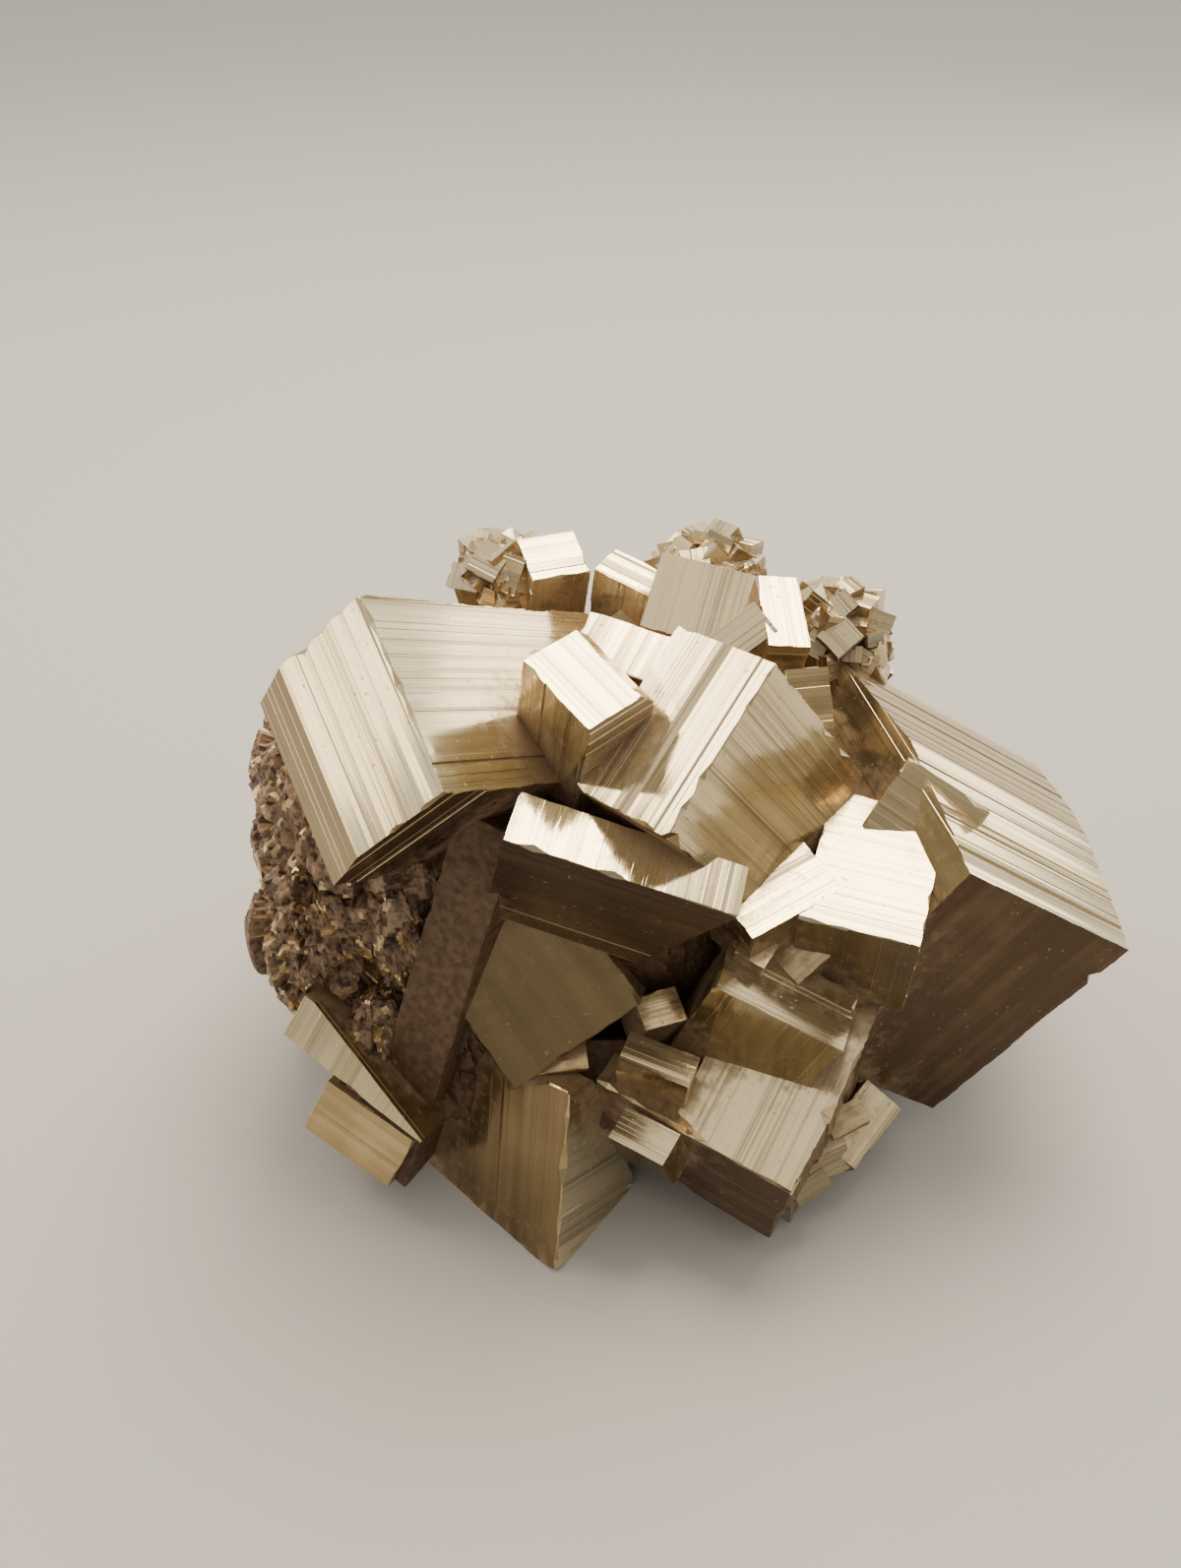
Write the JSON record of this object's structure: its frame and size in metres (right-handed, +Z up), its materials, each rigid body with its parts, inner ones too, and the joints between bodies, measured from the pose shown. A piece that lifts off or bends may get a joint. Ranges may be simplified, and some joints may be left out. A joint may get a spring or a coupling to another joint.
{
  "type": "pyrite specimen",
  "caption": "Cluster of intergrown brassy pyrite crystals with striated flat faces on a lump of granular pyrite, a hand specimen that rests on a shelf.",
  "frame": {"origin": "middle of the specimen's outer box, on the surface that it stands on", "axes": "+X along the longest side, to the right in the picture; +Y away from the viewer; +Z up"},
  "size_m": [0.0862, 0.0694, 0.0608],
  "materials": {
    "pyrite": "bright metallic crystal faces with fine striations, brown tarnish and granular broken stone"
  },
  "bodies": {
    "root": {"pyrite_cluster": "pyrite"}
  },
  "joints": []
}
